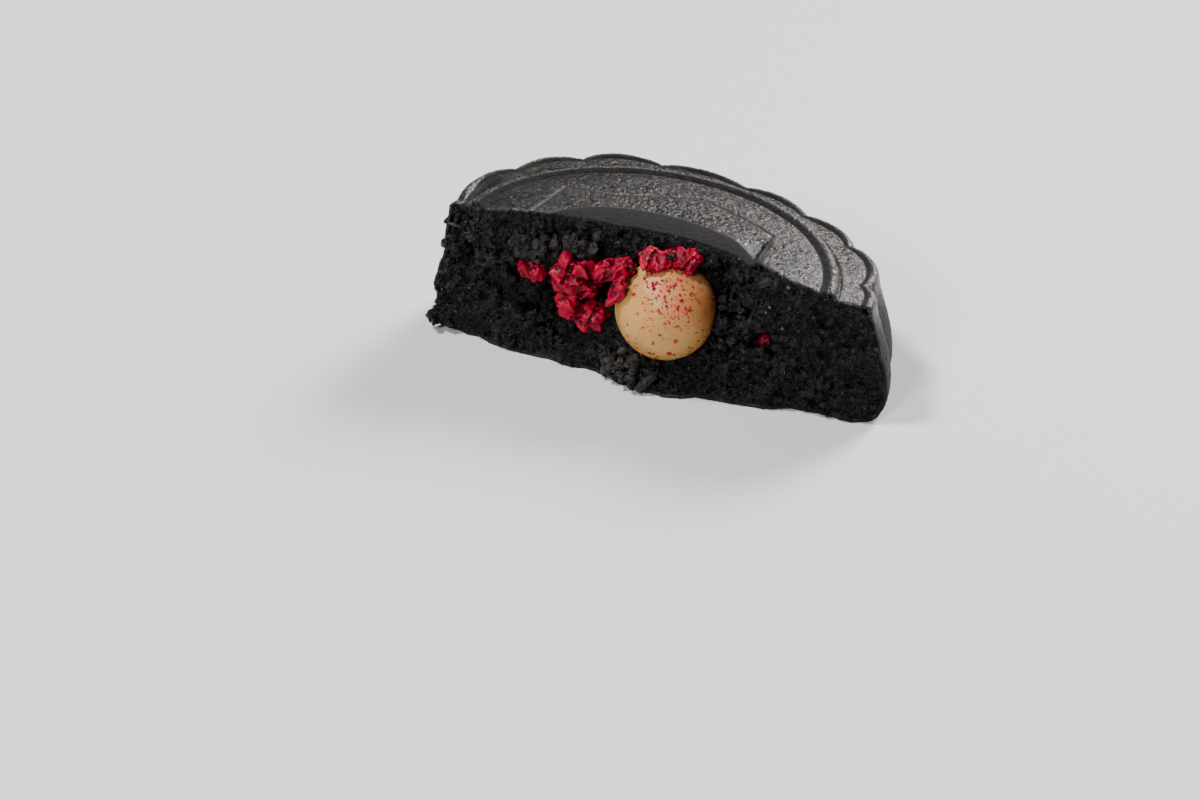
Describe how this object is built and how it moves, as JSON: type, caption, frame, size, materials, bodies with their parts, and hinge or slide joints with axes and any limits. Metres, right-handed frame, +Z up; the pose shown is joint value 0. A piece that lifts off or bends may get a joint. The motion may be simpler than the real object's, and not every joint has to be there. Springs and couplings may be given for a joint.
{
  "type": "mooncake half",
  "caption": "Half of a round black mooncake broken across, with a scalloped side, a ringed top, and a whole nut and red berry pieces in the crumb.",
  "frame": {"origin": "on the flat base, under the middle of the half's footprint", "axes": "+X along the break towards the thinner end, +Y back from the break towards the scalloped side, +Z up"},
  "size_m": [0.085, 0.0486, 0.0276],
  "materials": {
    "crust": "matt black baked crust with a soft sheen",
    "crumb": "rough black crumb with small glints",
    "nut": "smooth satin cream kernel with red specks",
    "berry": "crumpled crimson dried berry, slightly glossy"
  },
  "bodies": {
    "root": {"cake_half": "crust", "nut": "nut", "berry_left_tip": "berry", "berry_left_large": "berry", "berry_left_low": "berry", "berry_mid_high": "berry", "berry_flake": "berry", "berry_top_left": "berry", "berry_top_right": "berry", "berry_right_bit": "berry"}
  },
  "joints": []
}
